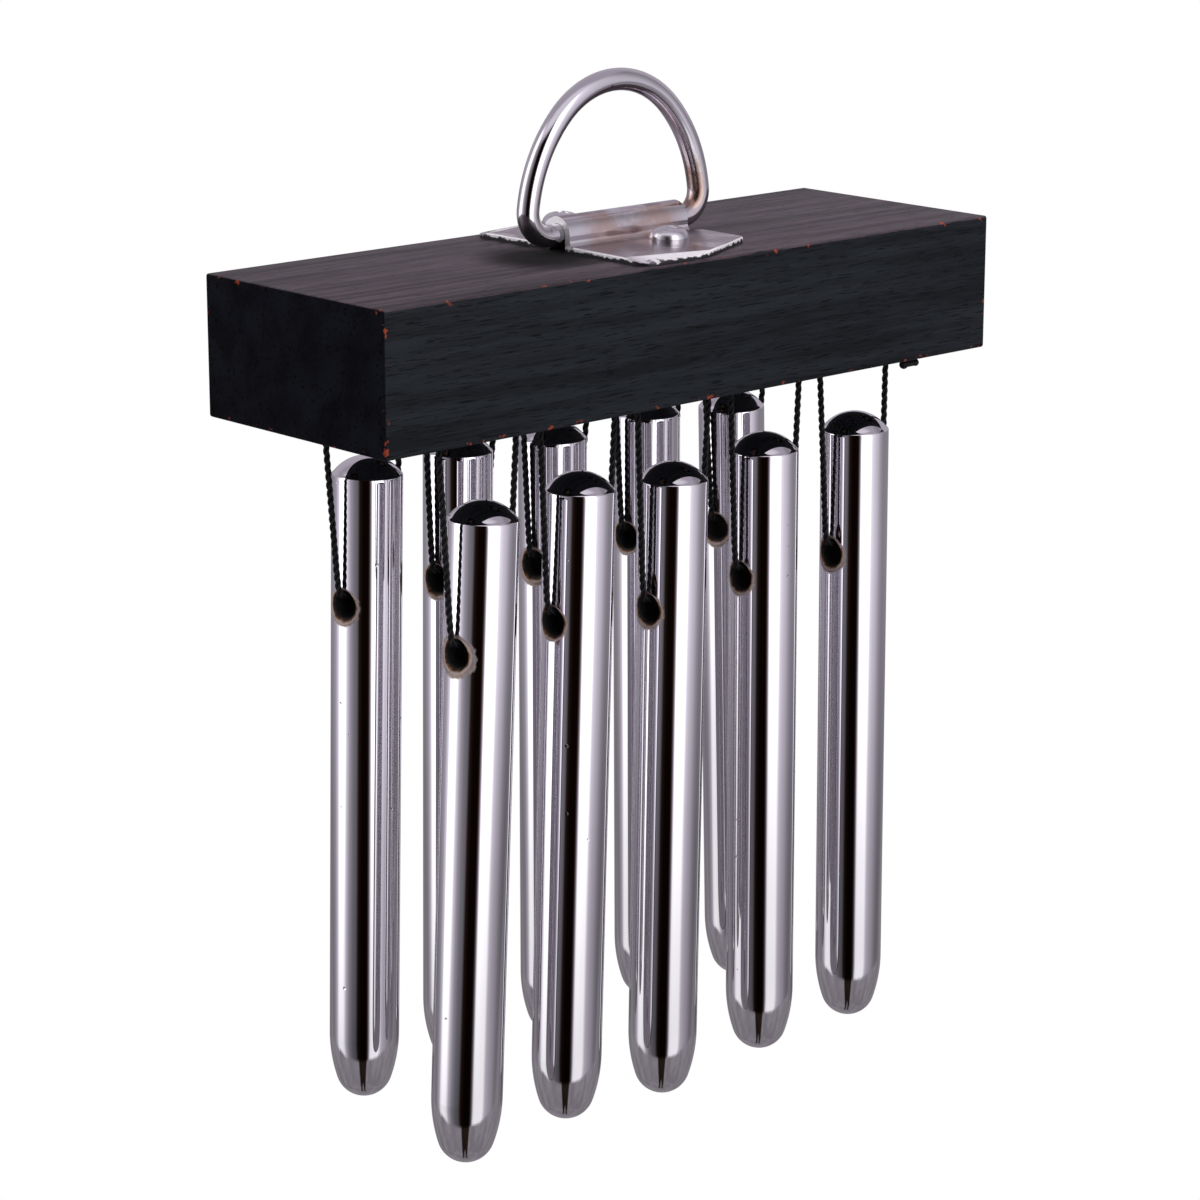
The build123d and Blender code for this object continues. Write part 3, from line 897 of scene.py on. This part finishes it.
floor_dim, floor_pale = (0.21, 0.195, 0.21), (0.31, 0.29, 0.31)
stripe_dark, stripe_pale = (0.004, 0.002, 0.001), (0.03, 0.02, 0.014)
back_wall = (0.50, 0.455, 0.52)
ceiling_back, ceiling_front = (0.45, 0.41, 0.47), (0.85, 0.8, 0.87)
white = (1.0, 1.0, 1.0)


def tinted(brightness):
    """The room's light is faintly lilac where it is grey, and brown where it is nearly dark."""
    share = brightness / brightest
    if brightness > lilac_below:
        return (share,) * 3
    if brightness > brown_below:
        return (share, share * 0.95, share * 1.05)
    return (share, share * 0.5, share * 0.32)


def studio_world():
    """The room as the metal sees it; the camera sees plain white."""
    world = bpy.data.worlds.new("studio")
    bpy.context.scene.world = world
    world.use_nodes = True
    tree = world.node_tree
    tree.nodes.clear()
    direction = add_node(tree, "ShaderNodeTexCoord").outputs["Generated"]

    def part_along(vector):
        """How far the direction goes along a vector, from -1 to 1."""
        return add_node(
            tree, "ShaderNodeVectorMath", operation="DOT_PRODUCT", inputs={0: direction, 1: vector}
        ).outputs["Value"]

    def scaled(colour, scale):
        """A colour made lighter or dimmer."""
        return add_node(
            tree, "ShaderNodeVectorMath", operation="SCALE", inputs={0: colour, "Scale": scale}
        ).outputs["Vector"]

    ahead = part_along(Vector((toward_camera.x, toward_camera.y, 0)).normalized())
    aside = part_along(level_right)
    height = part_along(Vector((0, 0, 1)))
    angle = maths(tree, "ARCTAN2", aside, ahead)
    share = add_node(
        tree, "ShaderNodeMapRange",
        inputs={"Value": angle, "From Min": -math.pi, "From Max": math.pi},
    ).outputs["Result"]
    # Walls; an uneven floor with the dark stripe running on over it; a grey ceiling
    clutter = spread(tree, direction, 3.0, 4.0, 0.6)
    low = fade(tree, height, -0.23, -0.36)
    walls = ramp(tree, share, [((a + 180) / 360, tinted(v)) for a, v in studio])
    room = scaled(scaled(walls, brightest), maths(tree, "MULTIPLY_ADD", low, -0.5, 1.0))
    dimmed = blend_colour(tree, fade(tree, clutter, 0.3, 0.7), floor_dim, floor_pale)
    dark = blend_colour(tree, clutter, stripe_dark, stripe_pale)
    off_stripe = maths(tree, "ABSOLUTE", maths(tree, "ADD", aside, 0.04))
    half_stripe = maths(tree, "MULTIPLY_ADD", height, 0.26, 0.35)
    past_stripe = maths(tree, "SUBTRACT", off_stripe, half_stripe)
    shadow = maths(
        tree, "MULTIPLY", fade(tree, past_stripe, 0.03, -0.03), fade(tree, ahead, -0.12, 0.0)
    )
    gap = maths(
        tree, "MULTIPLY", fade(tree, off_stripe, 0.045, 0.025), fade(tree, height, -0.8, -0.86)
    )
    shadow = maths(tree, "MULTIPLY", shadow, maths(tree, "MULTIPLY_ADD", gap, -0.6, 1.0))
    ground = blend_colour(tree, shadow, dimmed, dark)
    brink = maths(tree, "MULTIPLY_ADD", ahead, 0.175, height)
    brink = maths(tree, "MULTIPLY_ADD", clutter, 0.08, brink)
    room = blend_colour(tree, fade(tree, brink, -0.36, -0.42), room, ground)
    behind = maths(
        tree, "MULTIPLY", fade(tree, ahead, -0.35, -0.7), fade(tree, height, 0.0, 0.12)
    )
    room = blend_colour(tree, behind, room, back_wall)
    ceiling = blend_colour(tree, fade(tree, ahead, 0.0, 0.3), ceiling_back, ceiling_front)
    room = blend_colour(tree, fade(tree, height, 0.66, 0.8), room, ceiling)
    seen = add_node(tree, "ShaderNodeLightPath").outputs["Is Camera Ray"]
    colour = blend_colour(tree, seen, room, white)
    background = add_node(tree, "ShaderNodeBackground", inputs={"Color": colour})
    output = add_node(tree, "ShaderNodeOutputWorld")
    tree.links.new(background.outputs[0], output.inputs["Surface"])


studio_world()

# The floor bounces light up, but is plain white to the camera and unseen in the metal
deselect()
bpy.ops.mesh.primitive_plane_add(size=floor_size, location=(0, 0, -floor_drop))
floor = bpy.context.object
floor.name = "floor"
floor_material, floor_tree, floor_shader = new_material("floor", roughness=0.9)
floor_shader.inputs["Base Color"].default_value = (0.8, 0.8, 0.8, 1)
floor.data.materials.append(floor_material)
camera_ray = add_node(floor_tree, "ShaderNodeLightPath").outputs["Is Camera Ray"]
shining = add_node(floor_tree, "ShaderNodeEmission", inputs={"Color": (*white, 1)})
mix = add_node(floor_tree, "ShaderNodeMixShader", inputs={"Fac": camera_ray})
floor_tree.links.new(floor_shader.outputs[0], mix.inputs[1])
floor_tree.links.new(shining.outputs[0], mix.inputs[2])
floor_tree.links.new(mix.outputs[0], floor_tree.nodes["Material Output"].inputs["Surface"])
floor.visible_glossy = False

# A square lamp, above and to the right of the camera, lights the wood
key_size, key_energy = 0.8, 10
key_place, key_target = Vector((0.4, -1.0, 0.9)), Vector((0, 0, -0.1))
key = bpy.data.objects.new("key", bpy.data.lights.new("key", "AREA"))
bpy.context.scene.collection.objects.link(key)
key.data.shape = "RECTANGLE"
key.data.size = key.data.size_y = key_size
key.data.energy = key_energy
key.location = key_place
key.rotation_euler = (key_target - key_place).to_track_quat("-Z", "Y").to_euler()
key.visible_glossy = False
